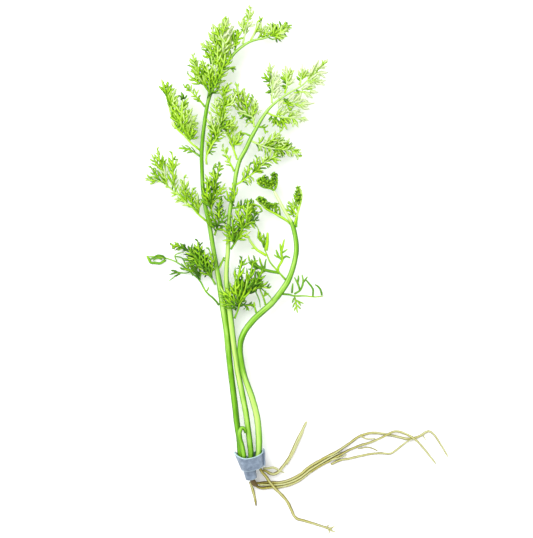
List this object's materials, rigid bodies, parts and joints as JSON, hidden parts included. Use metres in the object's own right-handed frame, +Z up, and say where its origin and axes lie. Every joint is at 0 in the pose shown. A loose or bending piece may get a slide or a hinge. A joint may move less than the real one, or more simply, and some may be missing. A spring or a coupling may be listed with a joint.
{
  "type": "water sprite bunch",
  "caption": "Bare-root bunch of an aquarium fern with finely forked fronds on long stalks, held at the foot by a wound soft-metal strip, with trailing roots; lies flat.",
  "frame": {"origin": "the flat spot on which the wound strip rests, on the surface that the bunch lies on", "axes": "+Z up from the surface; +Y from the strip towards the tips of the fronds; +X to the side to which the long roots trail"},
  "size_m": [0.1523, 0.2619, 0.0179],
  "materials": {
    "strip": "satin",
    "crown": "matte",
    "root": "satin",
    "stalk": "satin",
    "leaf": "satin"
  },
  "bodies": {
    "root": {"band": "strip", "crown": "crown", "pinna_a_1": "leaf", "pinna_a_10": "leaf", "pinna_a_11": "leaf", "pinna_a_12": "leaf", "pinna_a_13": "leaf", "pinna_a_14": "leaf", "pinna_a_15": "leaf", "pinna_a_16": "leaf", "pinna_a_17": "leaf", "pinna_a_18": "leaf", "pinna_a_2": "leaf", "pinna_a_3": "leaf", "pinna_a_4": "leaf", "pinna_a_5": "leaf", "pinna_a_6": "leaf", "pinna_a_7": "leaf", "pinna_a_8": "leaf", "pinna_a_9": "leaf", "pinna_b_1": "leaf", "pinna_b_10": "leaf", "pinna_b_11": "leaf", "pinna_b_12": "leaf", "pinna_b_13": "leaf", "pinna_b_14": "leaf", "pinna_b_15": "leaf", "pinna_b_16": "leaf", "pinna_b_17": "leaf", "pinna_b_18": "leaf", "pinna_b_19": "leaf", "pinna_b_2": "leaf", "pinna_b_20": "leaf", "pinna_b_3": "leaf", "pinna_b_4": "leaf", "pinna_b_5": "leaf", "pinna_b_6": "leaf", "pinna_b_7": "leaf", "pinna_b_8": "leaf", "pinna_b_9": "leaf", "pinna_c_1": "leaf", "pinna_c_2": "leaf", "pinna_c_3": "leaf", "pinna_c_4": "leaf", "pinna_c_5": "leaf", "pinna_c_6": "leaf", "pinna_c_7": "leaf", "root_lower": "root", "root_strand_a": "root", "root_strand_b": "root", "root_strand_c": "root", "root_stub": "root", "root_thread": "root", "root_upper": "root", "stalk_a": "stalk", "stalk_b": "stalk", "stalk_c": "stalk", "stalk_hook": "stalk"}
  },
  "joints": []
}
